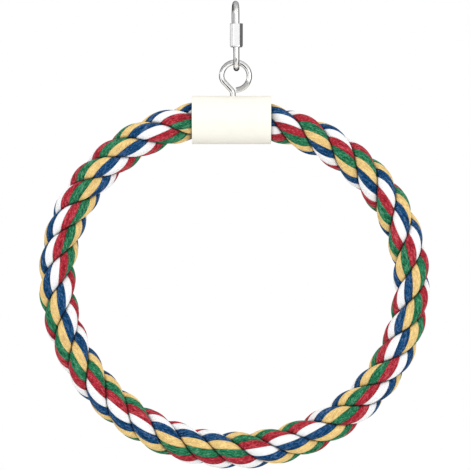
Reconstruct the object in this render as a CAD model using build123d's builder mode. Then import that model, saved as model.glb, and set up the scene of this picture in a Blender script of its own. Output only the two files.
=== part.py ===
from build123d import *
from math import asin, cos, pi, radians, sin, sqrt, tan
import os

os.makedirs("parts", exist_ok=True)

# A rope ring that hangs as a perch: a quick link, an eye bolt, a plain sleeve over the rope's two ends
# and a ring of three-strand rope round a stiff wire. The origin is where the link hangs: its inner top.
# Lengths are in millimetres and angles in degrees. The front of the ring faces -Y.

# Quick link: its lower bend is square to the ring, its upper bend is turned a little from square
link_wire = 3.8
link_inside_length = 37.1
link_inside_width = 10.0
link_turn = 5.0
gate_gap = 4.2
gate_cover = 1.4
link_nut_width = 7.0
link_nut_length = 15.0
link_nut_chamfer = 0.5
thread_clearance = 0.08

# Eye bolt, one bent wire: a shank, a slanting neck and an open eye
eye_wire = 3.4
eye_radius = 8.8
shank_offset = -1.6
neck_slope = 47.0
neck_offset_share = 0.9
neck_bend_radius = 4.0
side_bend_share = 0.95
eye_end_gap = 0.3
hang_clearance = 0.25
neck_height = 12.65
thread_showing = 1.5

# Washer and lock nut that hold the shank inside the sleeve
washer_diameter = 9.0
washer_thickness = 0.8
lock_nut_width = 7.0
lock_nut_height = 4.4
lock_nut_chamfer = 0.4
lock_ring_wall = 1.0
lock_ring_height = 1.2
lock_ring_clearance = 0.04
running_clearance = 0.3
seat_clearance = 0.1

# Rope: three strands laid right-handed round a core wire, bent to a ring that is a little out of round
ring_radius = 108.96
ring_offset = -0.3
out_of_round_shares = [(0.0097, -0.0058), (-0.0324, -0.0087), (-0.0053, -0.003)]
strand_count = 3
strand_diameter = 10.6
strand_gap = 0.2
lay_length = 58.1
first_strand_front = 55.6
rope_end_space = 7.0
core_diameter = 2.8
core_clearance = 0.15
core_end_gap = 0.4
ferrule_wall = 0.8
ferrule_length = 9.0
binding_thickness = 0.35
binding_length = 12.0

# Sleeve: a straight tube, with room in its bore for the bent rope
sleeve_length = 50.1
sleeve_offset = -2.5
sleeve_wall = 1.1
sleeve_ease = 1.95
sleeve_end_round = 0.4
rope_rise = 1.2

# Steps that follow the curves
ring_steps = 1440
arcs_per_lay = 4
core_spans = 16
pass_checks = 8
probe_length = 0.05
cut_overlap = 1.0

strand_radius = strand_diameter / 2
core_radius = core_diameter / 2
eye_wire_radius = eye_wire / 2
link_wire_radius = link_wire / 2
front = Vector(0, -1, 0)
ring_centre_z = 0.0


def ring_reach(angle):
    """Distance of the rope's centreline from the ring's centre, at an angle clockwise from its top."""
    reach = 1
    for order, (cosine, sine) in enumerate(out_of_round_shares, start=1):
        reach += cosine * cos(order * angle) + sine * sin(order * angle)
    return ring_radius * reach


def ring_point(angle):
    """Point of the rope's centreline, in the plane of the ring."""
    reach = ring_reach(angle)
    return Vector(ring_offset + reach * sin(angle), 0, ring_centre_z + reach * cos(angle))


# Length along the centreline, clockwise from the joint under the shank
joint_angle = asin((shank_offset - ring_offset) / ring_reach(0))
ring_angles = [joint_angle + 2 * pi * step / ring_steps for step in range(ring_steps + 1)]
ring_lengths = [0.0]
for angle, next_angle in zip(ring_angles, ring_angles[1:]):
    ring_lengths.append(ring_lengths[-1] + (ring_point(next_angle) - ring_point(angle)).length)
rope_circuit = ring_lengths[-1]


def point_along(distance):
    """Point of the centreline at a length from the joint; past a full turn it goes round again."""
    distance %= rope_circuit
    low, high = 0, ring_steps
    while high - low > 1:
        middle = (low + high) // 2
        if ring_lengths[middle] <= distance:
            low = middle
        else:
            high = middle
    share = (distance - ring_lengths[low]) / (ring_lengths[high] - ring_lengths[low])
    return ring_point(ring_angles[low] + share * (ring_angles[high] - ring_angles[low]))


def direction_of(curve, distance):
    """Unit tangent of a curve that is a function of length along the rope."""
    return (curve(distance + probe_length) - curve(distance - probe_length)).normalized()


def strand_curve(number, reach):
    """Centreline of one strand, a helix that faces the front once in each lay."""

    def curve(distance):
        along = direction_of(point_along, distance)
        outward = Vector(-along.Z, 0, along.X)
        turn = 2 * pi * ((distance - first_strand_front) / lay_length - number / strand_count)
        return point_along(distance) + outward * (-reach * sin(turn)) + front * (reach * cos(turn))

    return curve


def least_pass(reach):
    """Least distance between the centrelines of two neighbouring strands, all round the ring."""
    first = strand_curve(0, reach)
    second = strand_curve(1, reach)
    least = lay_length
    steps = round(pass_checks * rope_circuit / lay_length)
    for step in range(steps):
        place = rope_circuit * step / steps
        a = first(place)
        for shift in range(pass_checks + 1):
            least = min(least, (second(place + lay_length * shift / (4 * pass_checks)) - a).length)
    return least


def add_biarcs(curve, start, end, spans):
    """Draw a curve as pairs of tangent arcs, in the line that is being built."""
    for span in range(spans):
        first = start + (end - start) * span / spans
        last = start + (end - start) * (span + 1) / spans
        a, b = curve(first), curve(last)
        leave, arrive = direction_of(curve, first), direction_of(curve, last)
        chord, both = b - a, leave + arrive
        square = both.dot(both) - 4
        middle = chord.dot(both)
        reach = (middle - sqrt(middle * middle - square * chord.dot(chord))) / square
        knee_a, knee_b = a + leave * reach, b - arrive * reach
        joint = (knee_a + knee_b) * 0.5
        TangentArc(a, joint, tangent=leave)
        TangentArc(joint, b, tangent=(knee_b - knee_a).normalized())


def across(curve, distance):
    """Plane square to a curve, at its start."""
    return Plane(origin=curve(distance), z_dir=direction_of(curve, distance))


# The strands lie as close to the core as it and their neighbours let them
least_helix_radius = core_radius + core_clearance + strand_radius
helix_radius = least_helix_radius
for attempt in range(3):
    wanted = (strand_diameter + strand_gap) / least_pass(helix_radius)
    helix_radius = max(least_helix_radius, helix_radius * wanted)
rope_radius = helix_radius + strand_radius

# Heights, from the hanging point down: each follows from the piece above it
eye_top_z = -link_inside_length + hang_clearance + eye_wire_radius
eye_centre_z = eye_top_z - eye_radius
sleeve_bore_radius = rope_radius + sleeve_ease
sleeve_radius = sleeve_bore_radius + sleeve_wall
sleeve_top_z = eye_centre_z - neck_height
sleeve_axis_z = sleeve_top_z - sleeve_radius
ring_centre_z = sleeve_axis_z + rope_rise - ring_reach(0)
washer_top_z = sleeve_axis_z + sqrt(sleeve_bore_radius**2 - (washer_diameter / 2) ** 2) - seat_clearance
lock_nut_top_z = washer_top_z - washer_thickness - running_clearance
lock_nut_bottom_z = lock_nut_top_z - lock_nut_height
shank_end_z = lock_nut_bottom_z - thread_showing


# Quick link: a bent wire whose front leg is cut for the gate and whose back leg leans from bend to bend
leg_reach = link_inside_width / 2 + link_wire_radius
leg_offset = leg_reach * sin(radians(link_turn))
leg_depth = leg_reach * cos(radians(link_turn))
upper_bend_z = link_wire_radius - leg_reach
lower_bend_z = -link_inside_length - link_wire_radius + leg_depth
link_nut_bottom_z = -(link_inside_length + link_nut_length) / 2
link_nut_top_z = link_nut_bottom_z + link_nut_length
gate_bottom_z = link_nut_bottom_z + gate_cover

with BuildPart() as quick_link:
    leg_foot = (leg_offset, -leg_depth, gate_bottom_z)
    front_low, front_high = (leg_offset, -leg_depth, lower_bend_z), (leg_offset, -leg_depth, upper_bend_z)
    back_low, back_high = (leg_offset, leg_depth, lower_bend_z), (-leg_offset, leg_depth, upper_bend_z)
    back_middle = (0, leg_depth, (lower_bend_z + upper_bend_z) / 2)
    with BuildLine():
        Line(leg_foot, front_low)
        ThreePointArc(front_low, (leg_offset, 0, lower_bend_z - leg_depth), back_low)
        leaning = TangentArc(back_low, back_middle, tangent=(0, 0, 1))
        TangentArc(back_middle, back_high, tangent=leaning % 1)
        ThreePointArc(back_high, (0, 0, upper_bend_z + leg_reach), front_high)
        Line(front_high, (leg_offset, -leg_depth, gate_bottom_z + gate_gap))
    with BuildSketch(Plane(origin=leg_foot, z_dir=(0, 0, -1))):
        Circle(link_wire_radius)
    sweep()
quick_link.part.label = "quick_link"
export_step(quick_link.part, "parts/quick_link.step")

# Hexagonal nut that closes the gate: one flat faces the front and its lower corners are rounded off
leg_place = (leg_offset, -leg_depth, link_nut_bottom_z)
nut_base = Plane(origin=leg_place, x_dir=(1, 0, 0), z_dir=(0, 0, 1))
link_nut_corner = link_nut_width / sqrt(3)
with BuildPart() as link_nut:
    with BuildSketch(nut_base):
        RegularPolygon(radius=link_nut_width / 2, side_count=6, major_radius=False)
    extrude(amount=link_nut_length)
    with BuildSketch(Plane(origin=leg_place, x_dir=(1, 0, 0), z_dir=(0, -1, 0))):
        with BuildLine():
            Polyline(
                (link_wire_radius + thread_clearance, 0),
                (link_nut_corner - link_nut_chamfer, 0),
                (link_nut_corner, 2 * link_nut_chamfer),
                (link_nut_corner, link_nut_length),
                (link_wire_radius + thread_clearance, link_nut_length),
                close=True,
            )
        make_face()
    revolve(axis=Axis(leg_place, (0, 0, 1)), mode=Mode.INTERSECT)
link_nut.part.label = "link_nut"
export_step(link_nut.part, "parts/link_nut.step")

# Eye bolt: up the shank, slanting out along the neck, then over the eye and back to the shank's side
slope = radians(neck_slope)
neck_offset = eye_radius * neck_offset_share
neck_foot_run = (neck_offset * sin(slope) + shank_offset) / cos(slope)
neck_foot_z = eye_centre_z - neck_offset * cos(slope) + neck_foot_run * -sin(slope)
neck_top_run = (eye_radius - neck_offset * sin(slope)) / cos(slope)
neck_top_z = eye_centre_z - neck_offset * cos(slope) + neck_top_run * sin(slope)
neck_turn = radians(90 - neck_slope)
side_bend_radius = side_bend_share * (eye_centre_z - neck_top_z) / tan(neck_turn / 2)
end_face_reach = shank_offset + eye_wire_radius + eye_end_gap
eye_end_angle = asin(end_face_reach / (eye_radius + eye_wire_radius))
eye_sweep = 1.5 * pi - eye_end_angle
with BuildPart() as eye_bolt:
    with BuildLine(Plane.XZ):
        FilletPolyline(
            (shank_offset, shank_end_z),
            (shank_offset, neck_foot_z),
            (-eye_radius, neck_top_z),
            (-eye_radius, eye_centre_z),
            radius=[neck_bend_radius, side_bend_radius],
        )
        CenterArc((0, eye_centre_z), eye_radius, 180, -eye_sweep * 180 / pi)
    with BuildSketch(Plane.XY.offset(shank_end_z)):
        with Locations((shank_offset, 0)):
            Circle(eye_wire_radius)
    sweep()
eye_bolt.part.label = "eye_bolt"
export_step(eye_bolt.part, "parts/eye_bolt.step")

# Washer: its top edge bears on the sleeve's round inner wall
with BuildPart() as washer:
    with BuildSketch(Plane.XY.offset(washer_top_z - washer_thickness)):
        with Locations((shank_offset, 0)):
            Circle(washer_diameter / 2)
            Circle(eye_wire_radius + running_clearance, mode=Mode.SUBTRACT)
    extrude(amount=washer_thickness)
washer.part.label = "washer"
export_step(washer.part, "parts/washer.step")

# Lock nut, with a pocket in its lower face for the gripping ring
lock_nut_corner = lock_nut_width / sqrt(3)
lock_ring_radius = eye_wire_radius + lock_ring_clearance + lock_ring_wall
lock_nut_bore = eye_wire_radius + thread_clearance
lock_pocket_top = lock_ring_height + seat_clearance
lock_nut_foot = (shank_offset, 0, lock_nut_bottom_z)
with BuildPart() as lock_nut:
    with BuildSketch(Plane.XY.offset(lock_nut_bottom_z)):
        with Locations((shank_offset, 0)):
            RegularPolygon(radius=lock_nut_width / 2, side_count=6, major_radius=False)
    extrude(amount=lock_nut_height)
    with BuildSketch(Plane(origin=lock_nut_foot, x_dir=(1, 0, 0), z_dir=(0, -1, 0))):
        with BuildLine():
            Polyline(
                (lock_ring_radius + seat_clearance, 0),
                (lock_nut_corner - lock_nut_chamfer, 0),
                (lock_nut_corner, 2 * lock_nut_chamfer),
                (lock_nut_corner, lock_nut_height),
                (lock_nut_bore, lock_nut_height),
                (lock_nut_bore, lock_pocket_top),
                (lock_ring_radius + seat_clearance, lock_pocket_top),
                close=True,
            )
        make_face()
    revolve(axis=Axis(lock_nut_foot, (0, 0, 1)), mode=Mode.INTERSECT)
lock_nut.part.label = "lock_nut"
export_step(lock_nut.part, "parts/lock_nut.step")

with BuildPart() as lock_ring:
    with BuildSketch(Plane.XY.offset(lock_nut_bottom_z)):
        with Locations((shank_offset, 0)):
            Circle(lock_ring_radius)
            Circle(eye_wire_radius + lock_ring_clearance, mode=Mode.SUBTRACT)
    extrude(amount=lock_ring_height)
lock_ring.part.label = "lock_ring"
export_step(lock_ring.part, "parts/lock_ring.step")

# Sleeve: a tube along X with one hole in its top wall for the shank
with BuildPart() as sleeve:
    with BuildSketch(Plane.YZ.offset(sleeve_offset - sleeve_length / 2)):
        with Locations((0, sleeve_axis_z)):
            Circle(sleeve_radius)
            Circle(sleeve_bore_radius, mode=Mode.SUBTRACT)
    extrude(amount=sleeve_length)
    end_edges = sleeve.faces().sort_by(Axis.X)[0].edges() + sleeve.faces().sort_by(Axis.X)[-1].edges()
    fillet(end_edges, radius=min(sleeve_end_round, sleeve_wall / 3))
    with BuildSketch(Plane.XY.offset(sleeve_axis_z)):
        with Locations((shank_offset, 0)):
            Circle(eye_wire_radius + running_clearance)
    extrude(amount=sleeve_radius + cut_overlap, mode=Mode.SUBTRACT)
sleeve.part.label = "sleeve"
export_step(sleeve.part, "parts/sleeve.step")

# Strands of the rope: their ends, square to each strand, stop short of the nut inside the sleeve
end_slant = strand_radius * 2 * pi * helix_radius / lay_length
strand_start = rope_end_space + end_slant
strand_end = rope_circuit - strand_start
strand_spans = round(arcs_per_lay * (strand_end - strand_start) / lay_length)
for number in range(strand_count):
    curve = strand_curve(number, helix_radius)
    with BuildPart() as strand:
        with BuildLine():
            add_biarcs(curve, strand_start, strand_end, strand_spans)
        with BuildSketch(across(curve, strand_start)):
            Circle(strand_radius)
        sweep()
    strand.part.label = f"strand_{number + 1}"
    export_step(strand.part, f"parts/strand_{number + 1}.step")

# Core wire, bent to the ring, with its two ends facing each other under the shank
with BuildPart() as core_wire:
    with BuildLine():
        add_biarcs(point_along, core_end_gap / 2, rope_circuit - core_end_gap / 2, core_spans)
    with BuildSketch(across(point_along, core_end_gap / 2)):
        Circle(core_radius)
    sweep()
core_wire.part.label = "core_wire"
export_step(core_wire.part, "parts/core_wire.step")

# Ferrule that joins the two ends of the core wire
with BuildPart() as core_ferrule:
    with BuildLine():
        add_biarcs(point_along, -ferrule_length / 2, ferrule_length / 2, 1)
    with BuildSketch(across(point_along, -ferrule_length / 2)):
        Circle(core_radius + seat_clearance + ferrule_wall)
        Circle(core_radius + seat_clearance, mode=Mode.SUBTRACT)
    sweep()
core_ferrule.part.label = "core_ferrule"
export_step(core_ferrule.part, "parts/core_ferrule.step")

# Tape bound round each cut end of the rope, which keeps it from unlaying and fills the sleeve's bore
binding_starts = {"right": rope_end_space, "left": rope_circuit - rope_end_space - binding_length}
for side, start in binding_starts.items():
    with BuildPart() as binding:
        with BuildLine():
            add_biarcs(point_along, start, start + binding_length, 1)
        with BuildSketch(across(point_along, start)):
            Circle(rope_radius + seat_clearance + binding_thickness)
            Circle(rope_radius + seat_clearance, mode=Mode.SUBTRACT)
        sweep()
    binding.part.label = f"end_binding_{side}"
    export_step(binding.part, f"parts/end_binding_{side}.step")

print(f"Helix radius {helix_radius:.3f}, least pass {least_pass(helix_radius):.3f}")
print(f"Rope {2 * rope_radius:.2f} mm across, {rope_circuit:.1f} mm along the ring; sleeve {2 * sleeve_radius:.2f} mm")
print(f"Ring centre z {ring_centre_z:.2f}, sleeve axis z {sleeve_axis_z:.2f}, eye centre z {eye_centre_z:.2f}")
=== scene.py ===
import math
import random

import bpy
import numpy as np
from bpy.props import FloatProperty, FloatVectorProperty, IntProperty, PointerProperty
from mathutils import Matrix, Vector


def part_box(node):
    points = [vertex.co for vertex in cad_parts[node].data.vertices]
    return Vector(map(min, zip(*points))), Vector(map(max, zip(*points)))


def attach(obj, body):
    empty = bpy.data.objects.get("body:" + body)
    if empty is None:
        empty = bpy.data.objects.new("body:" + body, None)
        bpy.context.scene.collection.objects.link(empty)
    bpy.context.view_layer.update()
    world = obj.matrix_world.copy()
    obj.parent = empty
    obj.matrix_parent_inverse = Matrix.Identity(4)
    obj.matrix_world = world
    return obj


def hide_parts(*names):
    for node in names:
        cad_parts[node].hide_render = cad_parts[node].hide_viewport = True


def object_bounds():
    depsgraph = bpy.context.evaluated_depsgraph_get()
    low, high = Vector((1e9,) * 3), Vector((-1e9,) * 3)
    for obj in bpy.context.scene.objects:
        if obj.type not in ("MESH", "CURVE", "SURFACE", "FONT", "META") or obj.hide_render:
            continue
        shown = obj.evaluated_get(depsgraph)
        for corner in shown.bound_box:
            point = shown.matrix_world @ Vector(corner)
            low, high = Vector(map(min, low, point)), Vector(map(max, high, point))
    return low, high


bl_info = {
    "name": "Swing Perch Finish",
    "version": (1, 0, 0),
    "blender": (4, 5, 0),
    "location": "3D View > Sidebar > Perch",
    "description": "Lays the coloured yarns of a rope ring perch and finishes its steel and plastic pieces",
    "category": "Object",
}

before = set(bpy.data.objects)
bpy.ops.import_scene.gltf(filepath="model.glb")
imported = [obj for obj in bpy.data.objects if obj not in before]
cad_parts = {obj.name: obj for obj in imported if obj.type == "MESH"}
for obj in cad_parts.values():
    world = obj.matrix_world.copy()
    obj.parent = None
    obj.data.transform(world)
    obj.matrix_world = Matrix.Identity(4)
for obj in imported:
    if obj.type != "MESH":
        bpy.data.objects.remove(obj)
cad_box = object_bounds()

# Lengths are in metres and angles in radians, unless a comment says degrees. The front of the ring faces -Y
# and its hanging point is the origin.
FRONT = np.array([0.0, -1.0, 0.0])

# Path of the rope: the ring that the core wire makes, measured clockwise from the joint under the shank. Slow
# waves make it out of round, and its length is measured in small steps.
RING_WAVES = 4
RING_STEPS = 2880
FIRST_STRAND_FRONT = 0.0556
ROPE_END_SPACE = 0.007
CORE_ROOM = 0.0016

# Five yarns make a strand and three strands make the rope. A strand turns its yarns as it goes along:
# the first number is that turn where the strand first faces the front, the second is the turn in one lay.
# Where the rope is laid tighter or slacker, both drift a little from their steady turn: the drifts are
# angles at equal places round the ring. All are in degrees.
STRAND_COUNT = 3
YARN_ORDER = ("red", "green", "yellow", "blue", "white")
STRAND_TURNS = ((150, 920), (70, 940), (190, 925))
STRAND_DRIFT = (0, 0, 0, 0, 0, 0, 0, 17)
YARN_DRIFT = (0, -20, -10, -5, 20, 5, -5, -20)
# The yarns are laid slacker towards the rope's left end: the turn in degrees that they lose there, and the
# length of rope in which they lose it
END_TURN = -100
END_TURN_REACH = 0.08

# Section of a yarn: the points on its outer arc, and the points of its flanks and its foot, as shares of its
# half angle and of the strand's radius
YARN_ARC_POINTS = 13
YARN_INNER_POINTS = ((0.86, 0.5), (0.0, 0.14), (-0.86, 0.5))
# Slow waves of unevenness along the rope: how many go into one round, how far each can move a parting between
# yarns, and by what share of its radius it can swell a yarn
UNEVEN_WAVES = (5, 11, 17, 29)
PARTING_UNEVENNESS = math.radians(2.2)
SWELL_UNEVENNESS = 0.006
# How dark the sleeve's painted shadow on the yarns is at its mouths, and the lays in which a yarn's fibres go
# once round it
MOUTH_PAINTED_SHADOW = 0.9
FIBRE_TURN_LAYS = 9
# How much darker than its colour a yarn's low fibres are, as fibre tone and painted shade; the high fibres
# get a painted highlight in step with it
FIBRE_TONE_AND_PAINTED_SHADE = {"red": 0.65, "green": 0.8, "yellow": 0.36, "blue": 0.8, "white": 0.07}
# Lint and painted highlight on the fibres that stand out: the share of the yarn's colour that it keeps, and
# the white in it
LINT_AND_HIGHLIGHT_COLOUR_SHARE = 0.5
LINT_AND_HIGHLIGHT_WHITE = 0.35

# Places of a Mix node's sockets for its share, its two colours and its result
MIX_SHARE, MIX_FIRST, MIX_SECOND, MIX_RESULT = 0, 6, 7, 2
NODE_SPACING = 190
WHITE = (1, 1, 1)


def linear(red, green, blue):
    """Colour for a shader from its 0 to 255 screen values."""
    shares = [value / 255 for value in (red, green, blue)]
    return tuple(v / 12.92 if v <= 0.04045 else ((v + 0.055) / 1.055) ** 2.4 for v in shares)


def length_property(name, description, default):
    """Length in metres."""
    return FloatProperty(name=name, description=description, default=default, unit="LENGTH", precision=5)


def colour_property(name, description, default):
    """Colour as linear shares of red, green and blue."""
    return FloatVectorProperty(
        name=name, description=description, default=default, subtype="COLOR", size=3, min=0, max=1
    )


def share_property(name, description, default):
    """Share from 0 to 1."""
    return FloatProperty(
        name=name, description=description, default=default, min=0, max=1, subtype="FACTOR"
    )


class PerchRopeLook(bpy.types.PropertyGroup):
    """Sizes and colours of the rope's yarns"""

    lay_length: length_property("Lay", "Length of rope in which a strand goes round once", 0.0581)
    strand_reach: length_property("Strand reach", "From the rope's axis to a strand's middle", 0.0062)
    strand_depth: length_property("Strand depth", "From a strand's middle to its outer face", 0.0056)
    strand_spread: length_property("Strand spread", "From a strand's middle to its side", 0.006)
    strand_parting: FloatProperty(
        name="Parting", description="Angle left open between strands", default=math.radians(1.2),
        unit="ROTATION",
    )
    yarn_parting: FloatProperty(
        name="Yarn parting", description="Angle left open between yarns", default=math.radians(1.0),
        unit="ROTATION",
    )
    yarn_swell: share_property("Swell", "How far a yarn stands out past its edges", 0.07)
    ring_step: length_property("Step", "Length of rope from one ring of points to the next", 0.0009)
    fibre_width: length_property("Fibre width", "Width of the fibre bundles in a yarn", 0.00045)
    fibre_stretch: FloatProperty(
        name="Fibre stretch", description="Length of a bundle of fibres over its width", default=3.5
    )
    # The four values below set the painted shade on the yarns: colour darkened between the strands, where
    # they shade each other, and the painted shadow of the sleeve at its mouths
    painted_shade_start: length_property("Shelter start", "Depth between the strands where dark starts", 0.0028)
    painted_shade_end: length_property("Shelter end", "Depth between the strands where it is darkest", 0.0037)
    # How far the painted shadow of the sleeve on the yarns reaches out of its mouths
    mouth_painted_shadow_reach: length_property("Mouth shelter", "How far out of the sleeve its shadow reaches", 0.0016)
    painted_shade_dark: share_property("Shelter dark", "How dark it is where the strands meet", 0.85)
    seed: IntProperty(name="Seed", description="Start of the small unevenness of the yarns", default=7)
    blue: colour_property("Blue", "Colour of the blue yarns", linear(12, 73, 122))
    white: colour_property("White", "Colour of the white yarns", linear(246, 246, 247))
    red: colour_property("Red", "Colour of the red yarns", linear(179, 44, 58))
    green: colour_property("Green", "Colour of the green yarns", linear(37, 125, 85))
    yellow: colour_property("Yellow", "Colour of the straw yellow yarns", linear(245, 204, 134))


class PerchMetalLook(bpy.types.PropertyGroup):
    """Finish of the bent wire, the nuts and the parts inside the sleeve"""

    wire_colour: colour_property("Wire", "Colour of the bright wire", (0.93, 0.93, 0.92))
    nut_colour: colour_property("Nut", "Colour of the bright nut", (0.95, 0.95, 0.95))
    plain_colour: colour_property("Plain steel", "Colour of the steel inside the sleeve", (0.52, 0.52, 0.53))
    soft_colour: colour_property("Soft metal", "Colour of the crimped tube", (0.78, 0.78, 0.80))
    wire_roughness: share_property("Wire roughness", "How much the wire blurs what it mirrors", 0.13)
    nut_roughness: share_property("Nut roughness", "How much the nut blurs what it mirrors", 0.12)
    nut_edge_round: length_property("Nut edges", "How far the nut's worn edges are rounded", 0.0009)
    mark_pitch: length_property("Mark pitch", "From one tool mark to the next", 0.00075)


class PerchPlasticLook(bpy.types.PropertyGroup):
    """Finish of the sleeve, the gripping ring and the bindings"""

    sleeve_colour: colour_property("Sleeve", "Colour of the ivory sleeve", linear(250, 247, 236))
    sleeve_roughness: share_property("Sleeve roughness", "Blur of the sleeve's shine", 0.38)
    grip_colour: colour_property("Gripping ring", "Colour of the lock nut's ring", linear(226, 228, 224))
    tape_colour: colour_property("Tape", "Colour of the cloth tape on the rope's ends", linear(226, 221, 208))


class PerchStageLook(bpy.types.PropertyGroup):
    """Camera, light and floor"""

    camera_distance: length_property("Distance", "From the camera to the ring's plane", 2.0)
    view_width: length_property("View width", "Width of the picture at the ring's plane", 0.29845)
    view_side: length_property("View side", "The middle of the picture, along X", -0.0003)
    view_height: length_property("View height", "The middle of the picture, along Z", -0.1449)
    floor_drop: length_property("Floor drop", "From the ring's lowest point to the floor", 0.06)
    room_light: FloatProperty(name="Room light", description="Light from all round", default=1.0, min=0)
    mirrored_light: FloatProperty(name="Mirrored", description="Light that metal mirrors", default=1.0, min=0)
    key_power: FloatProperty(name="Key", description="Lamp in front, high left", default=2.6, unit="POWER")
    fill_power: FloatProperty(name="Fill", description="Lamp in front, right", default=6, unit="POWER")
    top_power: FloatProperty(name="Top", description="Lamp above", default=0.5, unit="POWER")


def fill_input(tree, socket, value):
    """Link an input to another socket, or give it a value of its own."""
    if isinstance(value, bpy.types.NodeSocket):
        tree.links.new(value, socket)
    else:
        socket.default_value = value


def add_node(tree, kind, settings=None, **inputs):
    """Place a node; an input, named with _ for a space, is a socket to link or a value to set."""
    node = tree.nodes.new(kind)
    node.location = (NODE_SPACING * len(tree.nodes), 0)
    for name, value in (settings or {}).items():
        setattr(node, name, value)
    for name, value in inputs.items():
        fill_input(tree, node.inputs[name.replace("_", " ")], value)
    return node


def compute(tree, operation, *values):
    """Result of a Math node on sockets or numbers."""
    node = add_node(tree, "ShaderNodeMath", {"operation": operation})
    for socket, value in zip(node.inputs, values):
        fill_input(tree, socket, value)
    return node.outputs[0]


def compute_vector(tree, operation, *values):
    """Outputs of a Vector Math node on sockets or vectors."""
    node = add_node(tree, "ShaderNodeVectorMath", {"operation": operation})
    for socket, value in zip(node.inputs, values):
        fill_input(tree, socket, value)
    return node.outputs


def blend_colours(tree, share, first, second):
    """Result of a Mix node on two colours, each a socket or three numbers."""
    node = add_node(tree, "ShaderNodeMix", {"data_type": "RGBA"})
    fill_input(tree, node.inputs[MIX_SHARE], share)
    for place, colour in ((MIX_FIRST, first), (MIX_SECOND, second)):
        linked = isinstance(colour, bpy.types.NodeSocket)
        fill_input(tree, node.inputs[place], colour if linked else (*colour, 1))
    return node.outputs[MIX_RESULT]


def spread(tree, value, low, high, new_low, new_high):
    """Result of a Map Range node, held inside its new range."""
    node = add_node(
        tree, "ShaderNodeMapRange", Value=value, From_Min=low, From_Max=high, To_Min=new_low, To_Max=new_high
    )
    return node.outputs[0]


def noise(tree, place, scale, detail, roughness=0.5):
    """Value of a Noise Texture node."""
    node = add_node(tree, "ShaderNodeTexNoise", Vector=place, Scale=scale, Detail=detail, Roughness=roughness)
    return node.outputs[0]


def mix_shaders(tree, share, first, second):
    """Mix Shader node of two shader nodes."""
    node = add_node(tree, "ShaderNodeMixShader")
    for socket, value in zip(node.inputs, (share, first.outputs[0], second.outputs[0])):
        tree.links.new(value, socket)
    return node


def start_group(name, inputs, outputs):
    """New shader node group; inputs are (name, kind, default) and outputs are (name, kind)."""
    group = bpy.data.node_groups.new(name, "ShaderNodeTree")
    for socket_name, kind, default in inputs:
        socket = group.interface.new_socket(socket_name, in_out="INPUT", socket_type=kind)
        if default is not None:
            socket.default_value = default
    for socket_name, kind in outputs:
        group.interface.new_socket(socket_name, in_out="OUTPUT", socket_type=kind)
    source = group.nodes.new("NodeGroupInput")
    result = group.nodes.new("NodeGroupOutput")
    return group, source.outputs, result.inputs


def place_group(tree, group, **inputs):
    """Place a node group in a material, with its own values."""
    return add_node(tree, "ShaderNodeGroup", {"node_tree": group}, **inputs).outputs


def fibre_group():
    """Fibres that run along a yarn: a shade, a bump height and a slow change of tone."""
    if "Fibre Streaks" in bpy.data.node_groups:
        return bpy.data.node_groups["Fibre Streaks"]
    group, given, result = start_group(
        "Fibre Streaks",
        [
            ("Place", "NodeSocketVector", None),
            ("Fibre Width", "NodeSocketFloat", 0.0003),
            ("Stretch", "NodeSocketFloat", 16.0),
        ],
        [("Shade", "NodeSocketFloat"), ("Height", "NodeSocketFloat"), ("Tone", "NodeSocketFloat")],
    )
    across = compute(group, "DIVIDE", 1.0, given["Fibre Width"])
    along = compute(group, "DIVIDE", across, given["Stretch"])
    scale = add_node(group, "ShaderNodeCombineXYZ", X=across, Y=across, Z=along).outputs[0]
    place = compute_vector(group, "MULTIPLY", given["Place"], scale)["Vector"]
    fine = noise(group, place, scale=1.0, detail=3.0, roughness=0.6)
    coarse = noise(group, place, scale=0.28, detail=2.0)
    tone = noise(group, given["Place"], scale=160.0, detail=2.0)
    height = compute(group, "MULTIPLY_ADD", coarse, 0.4, compute(group, "MULTIPLY", fine, 0.8))
    group.links.new(spread(group, height, 0.49, 0.71, 0.0, 1.0), result["Shade"])
    group.links.new(height, result["Height"])
    group.links.new(spread(group, tone, 0.3, 0.7, 0.0, 1.0), result["Tone"])
    return group


def handling_group():
    """Faint unevenness that a surface gets from its making and use."""
    if "Handling Marks" in bpy.data.node_groups:
        return bpy.data.node_groups["Handling Marks"]
    group, given, result = start_group(
        "Handling Marks",
        [
            ("Place", "NodeSocketVector", None),
            ("Mark Size", "NodeSocketFloat", 0.002),
            ("Roughness Low", "NodeSocketFloat", 0.1),
            ("Roughness High", "NodeSocketFloat", 0.3),
        ],
        [("Roughness", "NodeSocketFloat"), ("Height", "NodeSocketFloat"), ("Dull", "NodeSocketFloat")],
    )
    scale = compute(group, "DIVIDE", 1.0, given["Mark Size"])
    cloudy = noise(group, given["Place"], scale, detail=5.0, roughness=0.6)
    grain = noise(group, given["Place"], compute(group, "MULTIPLY", scale, 9.0), detail=2.0)
    roughness = spread(group, cloudy, 0.3, 0.7, given["Roughness Low"], given["Roughness High"])
    group.links.new(roughness, result["Roughness"])
    group.links.new(compute(group, "MULTIPLY_ADD", grain, 0.25, cloudy), result["Height"])
    group.links.new(spread(group, cloudy, 0.5, 0.75, 0.0, 1.0), result["Dull"])
    return group


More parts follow.
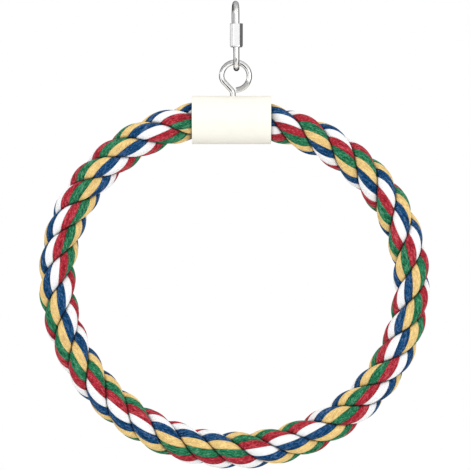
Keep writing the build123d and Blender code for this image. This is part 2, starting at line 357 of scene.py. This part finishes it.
def tool_mark_group():
    """Short parallel marks that a tool's jaws leave across a bent wire, between two angles of the bend."""
    if "Tool Marks" in bpy.data.node_groups:
        return bpy.data.node_groups["Tool Marks"]
    group, given, result = start_group(
        "Tool Marks",
        [
            ("Angle", "NodeSocketFloat", 0.0),
            ("Side", "NodeSocketFloat", 0.0),
            ("First Angle", "NodeSocketFloat", 0.0),
            ("Last Angle", "NodeSocketFloat", 1.0),
            ("Marks", "NodeSocketFloat", 70.0),
        ],
        [("Mask", "NodeSocketFloat"), ("Height", "NodeSocketFloat")],
    )
    fade = 0.25
    from_first = compute(group, "SUBTRACT", given["Angle"], given["First Angle"])
    from_last = compute(group, "SUBTRACT", given["Last Angle"], given["Angle"])
    inside = compute(
        group, "MINIMUM", spread(group, from_first, 0, fade, 0, 1), spread(group, from_last, 0, fade, 0, 1)
    )
    mask = compute(group, "MULTIPLY", inside, spread(group, given["Side"], 0, fade, 0, 1))
    wave = compute(group, "SINE", compute(group, "MULTIPLY", given["Angle"], given["Marks"]))
    ridge = compute(group, "MULTIPLY", compute(group, "MULTIPLY_ADD", wave, 0.5, 0.5), mask)
    group.links.new(mask, result["Mask"])
    group.links.new(ridge, result["Height"])
    return group


def empty_tree(owner):
    """Node tree of a material or a world, with nothing in it."""
    owner.use_nodes = True
    owner.node_tree.nodes.clear()
    return owner.node_tree


def start_material(name):
    """New material, its node tree and the shader in it."""
    material = bpy.data.materials.new(name)
    tree = empty_tree(material)
    shader = add_node(tree, "ShaderNodeBsdfPrincipled")
    add_node(tree, "ShaderNodeOutputMaterial", Surface=shader.outputs[0])
    return material, tree, shader


def frame_place(tree):
    """Place of a surface point in the object's frame."""
    return add_node(tree, "ShaderNodeTexCoord").outputs["Object"]


def raise_surface(tree, shader, height, depth, strength=1.0):
    """Bump node that raises the surface by a height that reaches a depth in metres."""
    bump = add_node(tree, "ShaderNodeBump", Height=height, Distance=depth, Strength=strength)
    tree.links.new(bump.outputs[0], shader.inputs["Normal"])
    return bump


def yarn_material(colour_name, look):
    """Soft cotton yarn: streaks of fibre along it, in fibre tone with painted shade on the low fibres and
    lint with painted highlight on the high ones, a dull sheen, a slow change of tone, and painted shade
    between the strands and at the sleeve's mouths.
    """
    material, tree, shader = start_material(f"cotton_{colour_name}")
    colour = getattr(look, colour_name)
    shade = FIBRE_TONE_AND_PAINTED_SHADE[colour_name]
    # Fibre streaks: darker on the low fibres, as fibre tone and painted shade, and paler on the high fibres,
    # as painted highlight
    dark = [value * (1 - shade) for value in colour]
    pale = [min(0.97, value * (1 + shade / 2) + 0.01 * shade) for value in colour]
    # Lint and painted highlight on the highest fibres
    lint_and_highlight = [value * LINT_AND_HIGHLIGHT_COLOUR_SHARE + LINT_AND_HIGHLIGHT_WHITE for value in colour]
    # Darkest painted shade: a tenth of the yarn's colour
    painted_shade_colour = [value * 0.1 for value in colour]
    place = add_node(tree, "ShaderNodeAttribute", {"attribute_name": "fibre_place"}).outputs["Vector"]
    # How dark the painted shade is at each point, between the strands and at the sleeve's mouths
    shelter = add_node(tree, "ShaderNodeAttribute", {"attribute_name": "shelter"}).outputs["Fac"]
    fibres = place_group(
        tree, fibre_group(), Place=place, Fibre_Width=look.fibre_width, Stretch=look.fibre_stretch
    )
    streaked = blend_colours(tree, fibres["Shade"], dark, pale)
    with_lint_and_highlight = blend_colours(tree, spread(tree, fibres["Shade"], 0.75, 1, 0, shade * 0.4), streaked, lint_and_highlight)
    toned = blend_colours(tree, compute(tree, "MULTIPLY", fibres["Tone"], 0.3), with_lint_and_highlight, colour)
    # Painted shade: the colour darkens towards a tenth of itself between the strands and at the sleeve's
    # mouths
    with_painted_shade = blend_colours(tree, compute(tree, "MULTIPLY", shelter, look.painted_shade_dark), toned, painted_shade_colour)
    tree.links.new(with_painted_shade, shader.inputs["Base Color"])
    tree.links.new(spread(tree, fibres["Shade"], 0, 1, 0.95, 0.8), shader.inputs["Roughness"])
    shader.inputs["Specular IOR Level"].default_value = 0.2
    shader.inputs["Specular Tint"].default_value = (*colour, 1)
    shader.inputs["Sheen Weight"].default_value = 0.05
    shader.inputs["Sheen Roughness"].default_value = 0.5
    raise_surface(tree, shader, fibres["Height"], depth=0.00035, strength=0.8)
    return material


class RopePath:
    """Centreline of the rope, found from the core wire in the frame, and what lies round it."""

    def __init__(self):
        low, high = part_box("core_wire")
        self.centre_x, self.centre_z = (low.x + high.x) / 2, (low.z + high.z) / 2
        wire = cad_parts["core_wire"]
        corners = np.array([wire.matrix_world @ vertex.co for vertex in wire.data.vertices])
        across, up = corners[:, 0] - self.centre_x, corners[:, 2] - self.centre_z
        terms = self.wave_terms(np.arctan2(across, up))
        self.wave_sizes = np.linalg.lstsq(terms, np.hypot(across, up), rcond=None)[0]
        shank_low, shank_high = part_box("lock_ring")
        shank_offset = (shank_low.x + shank_high.x) / 2
        joint_angle = math.asin((shank_offset - self.centre_x) / float(self.reach(0.0)))
        self.angles = joint_angle + np.linspace(0, 2 * math.pi, RING_STEPS + 1)
        steps = np.linalg.norm(np.diff(self.points(self.angles), axis=0), axis=1)
        self.lengths = np.concatenate([[0.0], np.cumsum(steps)])
        self.circuit = float(self.lengths[-1])

    def wave_terms(self, angle):
        """A round ring and the slow waves that make it out of round, at angles clockwise from its top."""
        waves = [wave(order * angle) for order in range(1, RING_WAVES + 1) for wave in (np.cos, np.sin)]
        return np.stack([np.ones_like(angle), *waves], axis=-1)

    def reach(self, angle):
        """Distance of the centreline from the ring's centre, at an angle clockwise from its top."""
        return self.wave_terms(np.asarray(angle, dtype=float)) @ self.wave_sizes

    def points(self, angle):
        """Points of the centreline, at angles clockwise from the ring's top."""
        reach = self.reach(angle)
        across, up = self.centre_x + reach * np.sin(angle), self.centre_z + reach * np.cos(angle)
        return np.stack([across, np.zeros_like(across), up], axis=-1)

    def beside(self, distance, radius, turn):
        """Points at a radius from the centreline, turned from the front towards the inside of the ring."""
        angle = np.interp(distance % self.circuit, self.lengths, self.angles)
        small = math.pi / RING_STEPS
        along = self.points(angle + small) - self.points(angle - small)
        along /= np.linalg.norm(along, axis=-1, keepdims=True)
        outward = np.stack([-along[..., 2], np.zeros_like(angle), along[..., 0]], axis=-1)
        off = radius[..., None] * (-np.sin(turn)[..., None] * outward + np.cos(turn)[..., None] * FRONT)
        return self.points(angle) + off


def yarn_outline(look):
    """Section of a yarn, a slice of the strand: shares of its half angle and of the strand's radius."""
    arc = np.linspace(-1, 1, YARN_ARC_POINTS)
    outer = [(share, 1 - look.yarn_swell * abs(share) ** 3) for share in arc]
    return np.array([*outer, *YARN_INNER_POINTS])


def drift(degrees, places, circuit):
    """Smooth change of an angle round the ring, on a curve through its values at equal places."""
    count = len(degrees)
    values = np.radians(degrees)
    share = places / circuit * count
    before = np.floor(share).astype(int)
    part = share - before
    a, b, c, d = (values[(before + step) % count] for step in (-1, 0, 1, 2))
    return b + 0.5 * part * (c - a + part * (2 * a - 5 * b + 4 * c - d + part * (3 * (b - c) + d - a)))


def uneven(draw, reach, places, circuit):
    """Slow waves of random size along the rope, which close on themselves."""
    wave = np.zeros_like(places)
    for turns in UNEVEN_WAVES:
        wave += draw.uniform(-1, 1) * np.sin(2 * math.pi * (turns * places / circuit + draw.random()))
    return reach * wave


def strand_partings(draw, places, circuit):
    """Angles of the partings between a strand's yarns, uneven along it, all the way round to the first."""
    count = len(YARN_ORDER)
    partings = [
        2 * math.pi * (number - 0.5) / count + uneven(draw, PARTING_UNEVENNESS, places, circuit)
        for number in range(count)
    ]
    return [*partings, partings[0] + 2 * math.pi]


def yarn_twist(path, look, strand, places):
    """How far a strand has turned its yarns, at places along the rope."""
    first, per_lay = STRAND_TURNS[strand]
    front = FIRST_STRAND_FRONT + strand * look.lay_length / STRAND_COUNT
    steady = math.radians(first) + math.radians(per_lay) * (places - front) / look.lay_length
    from_end = path.circuit - places
    lost = math.radians(END_TURN) * np.clip(1 - from_end / END_TURN_REACH, 0, 1) ** 2
    return steady + drift(YARN_DRIFT, places, path.circuit) + lost


def painted_shade_at(path, look, points, depth):
    """How dark the painted shade is at points, by their depth between the strands, and the painted shadow by
    how close to the sleeve they are.
    """
    # Painted shade where the strands meet, darker the deeper a point lies between them
    shelter = np.clip((depth - look.painted_shade_start) / (look.painted_shade_end - look.painted_shade_start), 0, 1) ** 2
    # Painted shadow of the sleeve on the upper half of the yarns, just outside its mouths
    low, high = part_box("sleeve")
    outside = np.maximum(points[..., 0] - high.x, low.x - points[..., 0])
    painted_mouth_shadow = (1 - outside / look.mouth_painted_shadow_reach) * (points[..., 2] > path.centre_z)
    return np.maximum(shelter, MOUTH_PAINTED_SHADOW * np.clip(painted_mouth_shadow, 0, 1))


def fibre_places(look, strand, places, off_middle, radius):
    """Where points lie in a yarn that is laid out straight, so that its fibres run along it."""
    per_lay = STRAND_TURNS[strand][1]
    run = math.hypot(1, math.radians(per_lay) / look.lay_length * look.strand_spread)
    angle = off_middle + 2 * math.pi * places[:, None] / (FIBRE_TURN_LAYS * look.lay_length)
    width = look.strand_depth * radius
    along = np.broadcast_to(places[:, None] * run, width.shape)
    return np.stack([width * np.cos(angle), width * np.sin(angle), along], axis=-1)


def yarn_points(path, look, strand, low, high, swell, places):
    """Points of one yarn between two partings, ring by ring, with their fibre places and their painted shade.
    """
    pitch = 2 * math.pi / look.lay_length
    slant = math.atan(pitch * look.strand_reach)
    outline = yarn_outline(look)
    middle, half = (low + high) / 2, (high - low) / 2 - look.yarn_parting / 2
    off_middle = half[:, None] * outline[:, 0]
    angle = middle[:, None] + off_middle - yarn_twist(path, look, strand, places)[:, None]
    radius = outline[:, 1] * (1 + swell[:, None])
    outward = look.strand_reach + look.strand_depth * radius * np.cos(angle)
    sideways = look.strand_spread * radius * np.sin(angle)
    distance = places[:, None] - sideways * math.sin(slant)
    reach = np.hypot(outward, sideways * math.cos(slant))
    aside = np.arctan2(sideways * math.cos(slant), outward) + pitch * sideways * math.sin(slant)
    limit = math.pi / STRAND_COUNT - look.strand_parting / 2
    turn = 2 * math.pi * ((distance - FIRST_STRAND_FRONT) / look.lay_length - strand / STRAND_COUNT)
    turn = turn + drift(STRAND_DRIFT, distance, path.circuit) + np.clip(aside, -limit, limit)
    points = path.beside(distance, np.maximum(reach, CORE_ROOM), turn)
    # How dark each point's painted shade is
    shelter = painted_shade_at(path, look, points, look.strand_reach + look.strand_depth - reach)
    return points, fibre_places(look, strand, places, off_middle, radius), shelter


def closed_tube(name, points):
    """Closed mesh from rings of points, with a cap at each end."""
    rings, around = points.shape[:2]
    numbers = np.arange(rings * around).reshape(rings, around)
    following = np.roll(numbers, -1, axis=1)
    sides = np.stack([numbers[:-1], numbers[1:], following[1:], following[:-1]], axis=-1).reshape(-1, 4)
    faces = [*sides.tolist(), numbers[0].tolist(), numbers[-1][::-1].tolist()]
    mesh = bpy.data.meshes.new(name)
    mesh.from_pydata(points.reshape(-1, 3).tolist(), [], faces)
    mesh.shade_smooth()
    mesh.update()
    return mesh


def store_at_points(mesh, name, kind, field, values):
    """Give a mesh an attribute with a value at each of its points."""
    attribute = mesh.attributes.new(name, kind, "POINT")
    attribute.data.foreach_set(field, values.astype(np.float32).ravel())


def show_piece(name, mesh, body, material):
    """Object for a mesh that rides on a body."""
    mesh.materials.append(material)
    piece = bpy.data.objects.new(name, mesh)
    bpy.context.scene.collection.objects.link(piece)
    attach(piece, body)
    return piece


class PERCH_OT_lay_yarns(bpy.types.Operator):
    """Lay the rope's fifteen yarns, five in each of its three strands"""

    bl_idname = "perch.lay_yarns"
    bl_label = "Lay Yarns"

    def execute(self, context):
        look = context.scene.perch_rope
        path = RopePath()
        slant = look.strand_spread * 2 * math.pi * look.strand_reach / look.lay_length
        start = ROPE_END_SPACE + slant
        rings = round((path.circuit - 2 * start) / look.ring_step)
        places = np.linspace(start, path.circuit - start, rings)
        draw = random.Random(look.seed)
        materials = {name: yarn_material(name, look) for name in YARN_ORDER}
        for strand in range(STRAND_COUNT):
            partings = strand_partings(draw, places, path.circuit)
            for colour, low, high in zip(YARN_ORDER, partings, partings[1:]):
                swell = uneven(draw, SWELL_UNEVENNESS, places, path.circuit)
                points, fibres, shelter = yarn_points(path, look, strand, low, high, swell, places)
                name = f"yarn_{strand + 1}_{colour}"
                mesh = closed_tube(name, points)
                store_at_points(mesh, "fibre_place", "FLOAT_VECTOR", "vector", fibres)
                # Painted shade between the strands and at the sleeve's mouths, kept at each point for the
                # yarn's material
                store_at_points(mesh, "shelter", "FLOAT", "value", shelter)
                piece = show_piece(name, mesh, "ring", materials[colour])
                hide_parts(f"strand_{strand + 1}")
        return {"FINISHED"}


def give_finish(node, material):
    """Put one material on a node of the frame."""
    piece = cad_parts[node]
    piece.data.materials.clear()
    piece.data.materials.append(material)


class Steel:
    """Material for steel whose gloss and surface vary a little, to which tool marks can be added."""

    def __init__(self, name, colour, low_roughness, high_roughness, mark_size, depth, dull_share=0.8):
        self.material, self.tree, self.shader = start_material(name)
        self.place = frame_place(self.tree)
        self.marks = place_group(
            self.tree, handling_group(), Place=self.place, Mark_Size=mark_size,
            Roughness_Low=low_roughness, Roughness_High=high_roughness,
        )
        dull = [value * dull_share for value in colour]
        self.toned = blend_colours(self.tree, self.marks["Dull"], colour, dull)
        self.tree.links.new(self.toned, self.shader.inputs["Base Color"])
        self.tree.links.new(self.marks["Roughness"], self.shader.inputs["Roughness"])
        self.shader.inputs["Metallic"].default_value = 1.0
        self.shader.inputs["Specular Tint"].default_value = (0.03, 0.03, 0.03, 1)
        self.depth = depth
        self.bump = raise_surface(self.tree, self.shader, self.marks["Height"], depth)

    def round_edges(self, radius, lean):
        """Round off the edges in what the faces mirror, and lean the faces up a little."""
        rounded = add_node(self.tree, "ShaderNodeBevel", {"samples": 6}, Radius=radius).outputs[0]
        leaning = compute_vector(self.tree, "ADD", rounded, (0, 0, lean))["Vector"]
        whole = compute_vector(self.tree, "NORMALIZE", leaning)["Vector"]
        self.tree.links.new(whole, self.bump.inputs["Normal"])

    def measure_bend(self, across, up):
        """Angle from straight up and distance from a bend's middle, for points across and up from it."""
        tree = self.tree
        angle = compute(tree, "ARCTAN2", across, up)
        square_up = compute(tree, "MULTIPLY", up, up)
        square = compute(tree, "MULTIPLY_ADD", across, across, square_up)
        return angle, compute(tree, "SQRT", square)

    def add_tool_marks(self, angle, spans, radius, pitch, height, dull):
        """Marks of a tool's jaws round a bend, in spans of first and last angle in degrees and side."""
        tree = self.tree
        mask = ridges = 0.0
        for first, last, side in spans:
            found = place_group(
                tree, tool_mark_group(), Angle=angle, Side=side, First_Angle=math.radians(first),
                Last_Angle=math.radians(last), Marks=2 * math.pi * radius / pitch,
            )
            mask = compute(tree, "MAXIMUM", mask, found["Mask"])
            ridges = compute(tree, "MAXIMUM", ridges, found["Height"])
        darker = blend_colours(tree, compute(tree, "MULTIPLY", mask, dull), self.toned, (0.36, 0.36, 0.36))
        tree.links.new(darker, self.shader.inputs["Base Color"])
        rougher = compute(tree, "MULTIPLY_ADD", mask, 0.22, self.marks["Roughness"])
        tree.links.new(rougher, self.shader.inputs["Roughness"])
        plain = compute(tree, "MULTIPLY", self.marks["Height"], self.depth)
        tree.links.new(compute(tree, "MULTIPLY_ADD", ridges, height, plain), self.bump.inputs["Height"])
        self.bump.inputs["Distance"].default_value = 1.0


def plastic_material(name, colour, low_roughness, high_roughness, mark_size):
    """Moulded plastic with a faint unevenness in its gloss and tone."""
    material, tree, shader = start_material(name)
    marks = place_group(
        tree, handling_group(), Place=frame_place(tree), Mark_Size=mark_size,
        Roughness_Low=low_roughness, Roughness_High=high_roughness,
    )
    worn = [value * 0.965 for value in colour]
    tree.links.new(blend_colours(tree, marks["Dull"], colour, worn), shader.inputs["Base Color"])
    tree.links.new(marks["Roughness"], shader.inputs["Roughness"])
    shader.inputs["Specular IOR Level"].default_value = 0.5
    raise_surface(tree, shader, marks["Height"], depth=0.00003)
    return material


class PERCH_OT_finish_link(bpy.types.Operator):
    """Finish the quick link and its screw nut"""

    bl_idname = "perch.finish_link"
    bl_label = "Finish Quick Link"

    def execute(self, context):
        look = context.scene.perch_metal
        wire = Steel(
            "bright_link_wire", look.wire_colour, low_roughness=look.wire_roughness - 0.06,
            high_roughness=look.wire_roughness + 0.1, mark_size=0.0022, depth=0.00006,
        )
        tree = wire.tree
        low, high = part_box("quick_link")
        bend_radius = (high.y - low.y) / 2
        split = add_node(tree, "ShaderNodeSeparateXYZ", Vector=wire.place).outputs
        ahead = compute(tree, "MULTIPLY", split["Y"], -1.0)
        up = compute(tree, "SUBTRACT", split["Z"], high.z - bend_radius)
        angle, reach = wire.measure_bend(ahead, up)
        outer_side = spread(tree, reach, bend_radius * 0.8, bend_radius, 0, 1)
        wire.add_tool_marks(
            angle, [(8, 80, outer_side)], bend_radius, look.mark_pitch, height=0.00016, dull=0.3
        )
        give_finish("quick_link", wire.material)
        nut = Steel(
            "bright_nut_steel", look.nut_colour, low_roughness=look.nut_roughness - 0.05,
            high_roughness=look.nut_roughness + 0.08, mark_size=0.003, depth=0.00002, dull_share=0.95,
        )
        nut.round_edges(look.nut_edge_round, lean=0.15)
        give_finish("link_nut", nut.material)
        return {"FINISHED"}


class PERCH_OT_finish_eye_bolt(bpy.types.Operator):
    """Finish the eye bolt, with the marks of the jaws that bent it"""

    bl_idname = "perch.finish_eye_bolt"
    bl_label = "Finish Eye Bolt"

    def execute(self, context):
        look = context.scene.perch_metal
        wire = Steel(
            "bright_eye_wire", look.wire_colour, low_roughness=look.wire_roughness - 0.06,
            high_roughness=look.wire_roughness + 0.08, mark_size=0.0022, depth=0.00005,
        )
        tree = wire.tree
        low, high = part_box("eye_bolt")
        outer_radius, wire_width = (high.x - low.x) / 2, high.y - low.y
        middle_radius = outer_radius - wire_width / 2
        split = add_node(tree, "ShaderNodeSeparateXYZ", Vector=wire.place).outputs
        right = compute(tree, "SUBTRACT", split["X"], (low.x + high.x) / 2)
        up = compute(tree, "SUBTRACT", split["Z"], high.z - outer_radius)
        angle, reach = wire.measure_bend(right, up)
        outer_side = spread(
            tree, reach, middle_radius - wire_width * 0.05, middle_radius + wire_width * 0.1, 0, 1
        )
        inner_side = spread(tree, reach, middle_radius + wire_width * 0.3, middle_radius, 0, 1)
        wire.add_tool_marks(
            angle, [(-78, -8, outer_side), (106, 190, inner_side)], middle_radius, look.mark_pitch,
            height=0.00018, dull=0.6,
        )
        give_finish("eye_bolt", wire.material)
        return {"FINISHED"}


class PERCH_OT_finish_lock_parts(bpy.types.Operator):
    """Finish the washer, the lock nut and its gripping ring inside the sleeve"""

    bl_idname = "perch.finish_lock_parts"
    bl_label = "Finish Lock Parts"

    def execute(self, context):
        metal, plastic = context.scene.perch_metal, context.scene.perch_plastic
        steel = Steel(
            "plain_steel", metal.plain_colour, low_roughness=0.25, high_roughness=0.45, mark_size=0.0016,
            depth=0.00006,
        )
        give_finish("washer", steel.material)
        give_finish("lock_nut", steel.material)
        grip = plastic_material(
            "grip_nylon", plastic.grip_colour, low_roughness=0.3, high_roughness=0.45, mark_size=0.001
        )
        give_finish("lock_ring", grip)
        return {"FINISHED"}


class PERCH_OT_finish_sleeve(bpy.types.Operator):
    """Finish the ivory sleeve over the rope's joint"""

    bl_idname = "perch.finish_sleeve"
    bl_label = "Finish Sleeve"

    def execute(self, context):
        look = context.scene.perch_plastic
        ivory = plastic_material(
            "ivory_plastic", look.sleeve_colour, low_roughness=look.sleeve_roughness - 0.05,
            high_roughness=look.sleeve_roughness + 0.07, mark_size=0.009,
        )
        give_finish("sleeve", ivory)
        return {"FINISHED"}


class PERCH_OT_finish_core(bpy.types.Operator):
    """Finish the core wire and the crimped tube that joins its ends"""

    bl_idname = "perch.finish_core"
    bl_label = "Finish Core"

    def execute(self, context):
        look = context.scene.perch_metal
        wire = Steel(
            "core_wire_steel", look.plain_colour, low_roughness=0.25, high_roughness=0.4, mark_size=0.002,
            depth=0.00005,
        )
        give_finish("core_wire", wire.material)
        tube = Steel(
            "crimped_tube_metal", look.soft_colour, low_roughness=0.3, high_roughness=0.5, mark_size=0.0015,
            depth=0.00012,
        )
        give_finish("core_ferrule", tube.material)
        return {"FINISHED"}


class PERCH_OT_finish_bindings(bpy.types.Operator):
    """Finish the cloth tape round the rope's two ends"""

    bl_idname = "perch.finish_bindings"
    bl_label = "Finish Bindings"

    def execute(self, context):
        look = context.scene.perch_plastic
        tape, tree, shader = start_material("cloth_tape")
        fibres = place_group(tree, fibre_group(), Place=frame_place(tree), Fibre_Width=0.0004, Stretch=1.0)
        dark = [value * 0.8 for value in look.tape_colour]
        weave = blend_colours(tree, fibres["Shade"], dark, look.tape_colour)
        tree.links.new(weave, shader.inputs["Base Color"])
        tree.links.new(spread(tree, fibres["Shade"], 0, 1, 0.95, 0.85), shader.inputs["Roughness"])
        raise_surface(tree, shader, fibres["Height"], depth=0.0002)
        give_finish("end_binding_left", tape)
        give_finish("end_binding_right", tape)
        return {"FINISHED"}


# What polished metal mirrors, by the way that it faces: X is right, Y is back and Z is up, from -1 to 1.
# From straight ahead of the ring to straight behind it, stops with their share of the way and their grey.
MIRRORED_GREYS = ((0.3, 1.0), (0.46, 0.5), (0.54, 0.1), (0.66, 0.05), (0.75, 0.18), (0.93, 0.06))
BACK_GREY = (0.4, 0.4, 0.4)
# Grey ceiling: where it starts to show and where it is full, by the way up
CEILING_FADE = (0.35, 0.6)
CEILING_GREY = (0.65, 0.65, 0.65)
# Dark card in front, low on the left: two ways across it, with its middle and its half width along each,
# its soft edge, and where it ends towards the back
CARD_SIDES = (((-0.559, 0, -0.829), 0.42, 0.38), ((0.829, 0, -0.559), 0.0, 0.3))
CARD_SOFT_EDGE = 0.04
CARD_BACK_FADE = (-0.1, 0.0)
CARD_GREY = (0.03, 0.03, 0.03)
# Bright window on the left, which the nut's left face mirrors: its middle height, and where it starts to fade
# and is gone, up and down from that height, towards the back and towards the right
WINDOW_HEIGHT = 0.24
WINDOW_FADES = ((0.09, 0.12), (0.57, 0.61), (-0.4, -0.2))
# Floor: its reach each way, its grey, the share of white that the camera sees in it near the perch, and how
# far from the origin it starts to get whiter and is all white
FLOOR_REACH = 12.0
FLOOR_GREY = (0.9, 0.9, 0.9)
FLOOR_NEAR_WHITE = 0.5
FLOOR_FADE = (0.25, 0.8)


def seen_by_camera(tree, rays):
    """1 for what the camera sees, straight or through something clear, and 0 for other light."""
    return compute(tree, "MAXIMUM", rays["Is Camera Ray"], rays["Is Transmission Ray"])


def card_share(tree, direction, backward):
    """How much of the dark card lies in a direction."""
    share = spread(tree, backward, *CARD_BACK_FADE, 1, 0)
    for side, middle, half in CARD_SIDES:
        along = compute_vector(tree, "DOT_PRODUCT", direction, side)["Value"]
        off = compute(tree, "ABSOLUTE", compute(tree, "SUBTRACT", along, middle))
        share = compute(tree, "MULTIPLY", share, spread(tree, off, half - CARD_SOFT_EDGE, half, 1, 0))
    return share


def window_share(tree, way):
    """How much of the bright window lies in a direction."""
    off_height = compute(tree, "ABSOLUTE", compute(tree, "SUBTRACT", way["Z"], WINDOW_HEIGHT))
    share = 1.0
    for place, (start, end) in zip((off_height, way["Y"], way["X"]), WINDOW_FADES):
        share = compute(tree, "MULTIPLY", share, spread(tree, place, start, end, 1, 0))
    return share


def light_room(scene, look):
    """White room: plain light from all round; only polished metal mirrors its dark back."""
    world = bpy.data.worlds.new("white_room")
    scene.world = world
    tree = empty_tree(world)
    rays = add_node(tree, "ShaderNodeLightPath").outputs
    direction = add_node(tree, "ShaderNodeTexCoord").outputs["Generated"]
    way = add_node(tree, "ShaderNodeSeparateXYZ", Vector=direction).outputs
    ramp = add_node(tree, "ShaderNodeValToRGB", Fac=spread(tree, way["Y"], -1, 1, 0, 1))
    stops = ramp.color_ramp.elements
    stops[0].color, stops[1].color = (*WHITE, 1), (*BACK_GREY, 1)
    for position, grey in MIRRORED_GREYS:
        stops.new(position).color = (grey, grey, grey, 1)
    ceiling = spread(tree, way["Z"], *CEILING_FADE, 0, 1)
    walls = blend_colours(tree, ceiling, ramp.outputs[0], CEILING_GREY)
    walls = blend_colours(tree, card_share(tree, direction, way["Y"]), walls, CARD_GREY)
    walls = blend_colours(tree, window_share(tree, way), walls, WHITE)
    plain = add_node(tree, "ShaderNodeBackground", Color=(*WHITE, 1), Strength=look.room_light)
    mirrored = add_node(tree, "ShaderNodeBackground", Color=walls, Strength=look.mirrored_light)
    seen = add_node(tree, "ShaderNodeBackground", Color=(*WHITE, 1), Strength=1.0)
    light = mix_shaders(tree, rays["Is Glossy Ray"], plain, mirrored)
    room = mix_shaders(tree, seen_by_camera(tree, rays), light, seen)
    add_node(tree, "ShaderNodeOutputWorld", Surface=room.outputs[0])


def add_floor(look):
    """Wide pale floor under the ring; it looks white but keeps the soft shadow."""
    height = cad_box[0].z - look.floor_drop
    corners = [(x * FLOOR_REACH, y * FLOOR_REACH, height) for x, y in ((-1, -1), (1, -1), (1, 1), (-1, 1))]
    mesh = bpy.data.meshes.new("floor")
    mesh.from_pydata(corners, [], [(0, 1, 2, 3)])
    floor = bpy.data.objects.new("floor", mesh)
    bpy.context.scene.collection.objects.link(floor)
    floor.visible_glossy = False
    material = bpy.data.materials.new("pale_floor")
    tree = empty_tree(material)
    rays = add_node(tree, "ShaderNodeLightPath").outputs
    lit = add_node(tree, "ShaderNodeBsdfDiffuse", Color=(*FLOOR_GREY, 1), Roughness=0.5)
    white = add_node(tree, "ShaderNodeEmission", Color=(*WHITE, 1), Strength=1.0)
    away = compute_vector(tree, "LENGTH", frame_place(tree))["Value"]
    whiteness = spread(tree, away, *FLOOR_FADE, FLOOR_NEAR_WHITE, 1)
    share = compute(tree, "MULTIPLY", seen_by_camera(tree, rays), whiteness)
    surface = mix_shaders(tree, share, lit, white)
    add_node(tree, "ShaderNodeOutputMaterial", Surface=surface.outputs[0])
    mesh.materials.append(material)


def add_lamp(name, place, aim, width, power):
    """Square soft lamp that the camera doesn't see."""
    lamp = bpy.data.lights.new(name, "AREA")
    lamp.shape = "SQUARE"
    lamp.size = width
    lamp.energy = power
    holder = bpy.data.objects.new(name, lamp)
    holder.location = place
    holder.rotation_mode = "QUATERNION"
    holder.rotation_quaternion = (Vector(aim) - Vector(place)).to_track_quat("-Z", "Y")
    holder.visible_camera = False
    bpy.context.scene.collection.objects.link(holder)


class PERCH_OT_set_stage(bpy.types.Operator):
    """Set the camera, the soft light and the pale floor"""

    bl_idname = "perch.set_stage"
    bl_label = "Set Stage"

    def execute(self, context):
        scene = context.scene
        look = scene.perch_stage
        lens_data = bpy.data.cameras.new("camera")
        lens_data.sensor_width = 36
        lens_data.lens = lens_data.sensor_width * look.camera_distance / look.view_width
        lens_data.clip_end = 100
        camera = bpy.data.objects.new("camera", lens_data)
        camera.location = (look.view_side, -look.camera_distance, look.view_height)
        camera.rotation_euler = (math.pi / 2, 0, 0)
        scene.collection.objects.link(camera)
        scene.camera = camera
        scene.view_settings.view_transform = "Standard"
        light_room(scene, look)
        add_floor(look)
        aim = (0, 0, look.view_height)
        add_lamp("key_lamp", place=(-0.9, -1.5, 0.7), aim=aim, width=0.9, power=look.key_power)
        add_lamp("fill_lamp", place=(0.8, -1.9, 0.0), aim=aim, width=0.7, power=look.fill_power)
        add_lamp("top_lamp", place=(0, -0.3, 1.3), aim=aim, width=0.9, power=look.top_power)
        return {"FINISHED"}


STEPS = (
    PERCH_OT_set_stage,
    PERCH_OT_lay_yarns,
    PERCH_OT_finish_link,
    PERCH_OT_finish_eye_bolt,
    PERCH_OT_finish_sleeve,
    PERCH_OT_finish_lock_parts,
    PERCH_OT_finish_core,
    PERCH_OT_finish_bindings,
)
LOOKS = {
    "perch_rope": PerchRopeLook,
    "perch_metal": PerchMetalLook,
    "perch_plastic": PerchPlasticLook,
    "perch_stage": PerchStageLook,
}


class PERCH_PT_finish(bpy.types.Panel):
    """Sizes, colours and steps of the perch's finish"""

    bl_idname = "PERCH_PT_finish"
    bl_label = "Swing Perch"
    bl_space_type = "VIEW_3D"
    bl_region_type = "UI"
    bl_category = "Perch"

    def draw(self, context):
        for name, look in LOOKS.items():
            box = self.layout.box()
            for value in look.__annotations__:
                box.prop(getattr(context.scene, name), value)
        for step in STEPS:
            self.layout.operator(step.bl_idname)


def register():
    """Register the looks, the steps and the panel."""
    for look in LOOKS.values():
        bpy.utils.register_class(look)
    for name, look in LOOKS.items():
        setattr(bpy.types.Scene, name, PointerProperty(type=look))
    for step in STEPS:
        bpy.utils.register_class(step)
    bpy.utils.register_class(PERCH_PT_finish)


def unregister():
    """Take back what register did, in the opposite order."""
    bpy.utils.unregister_class(PERCH_PT_finish)
    for step in reversed(STEPS):
        bpy.utils.unregister_class(step)
    for name, look in reversed(LOOKS.items()):
        delattr(bpy.types.Scene, name)
        bpy.utils.unregister_class(look)


def main():
    """Run every step."""
    register()
    bpy.ops.perch.set_stage()
    bpy.ops.perch.lay_yarns()
    bpy.ops.perch.finish_link()
    bpy.ops.perch.finish_eye_bolt()
    bpy.ops.perch.finish_sleeve()
    bpy.ops.perch.finish_lock_parts()
    bpy.ops.perch.finish_core()
    bpy.ops.perch.finish_bindings()


if __name__ == "__main__":
    main()
